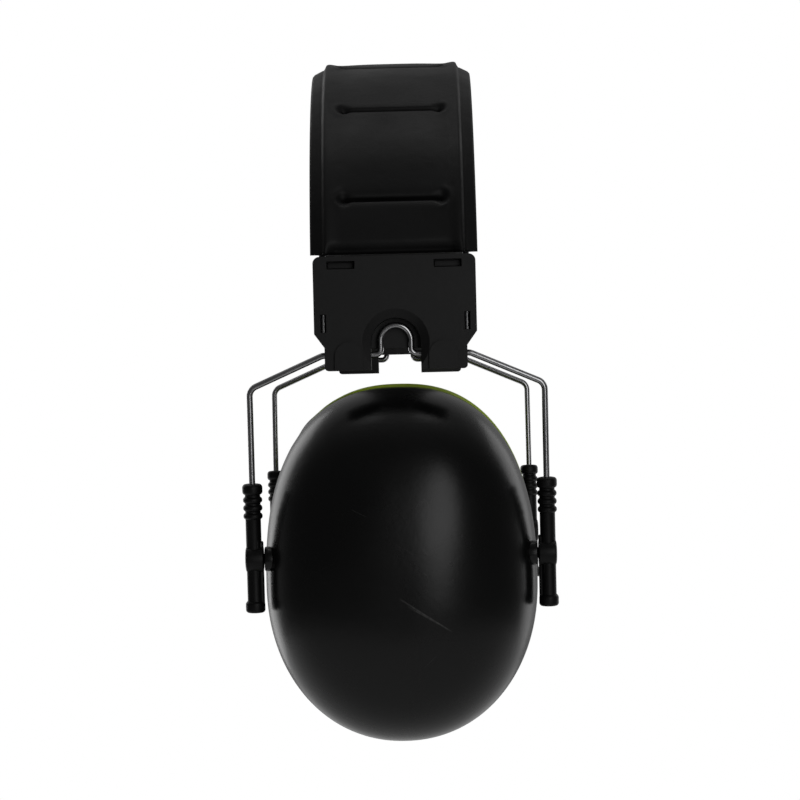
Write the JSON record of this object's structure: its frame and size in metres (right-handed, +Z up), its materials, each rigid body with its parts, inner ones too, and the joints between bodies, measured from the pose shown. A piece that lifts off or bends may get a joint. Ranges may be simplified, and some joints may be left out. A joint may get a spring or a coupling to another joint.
{
  "type": "hearing protection earmuffs",
  "caption": "Foldable over-ear hearing protectors: padded band, moulded hinge blocks, wire yokes, sliding sleeves and tilting egg-shaped cups with soft cushions.",
  "frame": {"origin": "crown contact: the lowest point of the padding under the top of the arch, midway between the ears", "axes": "+Z up, +X towards the front of the wearer's head, +Y towards the wearer's left ear"},
  "size_m": [0.0914, 0.1894, 0.2057],
  "materials": {
    "band_vinyl": "satin",
    "band_lining": "matte",
    "band_foam": "matte",
    "spring_wire": "satin",
    "yoke_wire": "polished",
    "block": "matte",
    "block_inner": "matte",
    "sleeve": "satin",
    "cup_shell": "gloss",
    "base_ring": "satin",
    "cup_foam": "matte",
    "ear_liner": "matte",
    "cushion_plate": "matte",
    "cushion_foam": "matte",
    "cushion_skin": "satin"
  },
  "bodies": {
    "headband": {"headband_cover": "band_vinyl", "headband_lining": "band_lining", "headband_pad": "band_foam", "front_band_wire": "spring_wire", "rear_band_wire": "spring_wire", "right_block_cover": "block", "right_block_plate": "block_inner", "left_block_cover": "block", "left_block_plate": "block_inner"},
    "right_yoke": {"right_yoke_wire": "yoke_wire"},
    "right_slider": {"right_front_sleeve": "sleeve", "right_rear_sleeve": "sleeve"},
    "right_cup": {"right_cup_shell": "cup_shell", "right_base_ring": "base_ring", "right_cup_foam": "cup_foam", "right_ear_liner": "ear_liner", "right_cushion_plate": "cushion_plate", "right_cushion_foam": "cushion_foam", "right_cushion_cover": "cushion_skin"},
    "left_yoke": {"left_yoke_wire": "yoke_wire"},
    "left_slider": {"left_front_sleeve": "sleeve", "left_rear_sleeve": "sleeve"},
    "left_cup": {"left_cup_shell": "cup_shell", "left_base_ring": "base_ring", "left_cup_foam": "cup_foam", "left_ear_liner": "ear_liner", "left_cushion_plate": "cushion_plate", "left_cushion_foam": "cushion_foam", "left_cushion_cover": "cushion_skin"}
  },
  "joints": [
    {"name": "right_fold", "type": "hinge", "parent": "headband", "child": "right_yoke", "pos_m": [0, -0.077, -0.08101], "axis": [1, 0, 0], "range_deg": [0, 80]},
    {"name": "right_height", "type": "slide", "parent": "right_yoke", "child": "right_slider", "axis": [0, -0.0872, 0.9962], "range_m": [-0.018, 0.001]},
    {"name": "right_tilt", "type": "hinge", "parent": "right_slider", "child": "right_cup", "pos_m": [0, -0.07187, -0.13969], "axis": [1, 0, 0], "range_deg": [-10, 10]},
    {"name": "left_fold", "type": "hinge", "parent": "headband", "child": "left_yoke", "pos_m": [0, 0.077, -0.08101], "axis": [1, 0, 0], "range_deg": [-80, 0]},
    {"name": "left_height", "type": "slide", "parent": "left_yoke", "child": "left_slider", "axis": [0, 0.0872, 0.9962], "range_m": [-0.018, 0.001]},
    {"name": "left_tilt", "type": "hinge", "parent": "left_slider", "child": "left_cup", "pos_m": [0, 0.07187, -0.13969], "axis": [1, 0, 0], "range_deg": [-10, 10]}
  ]
}
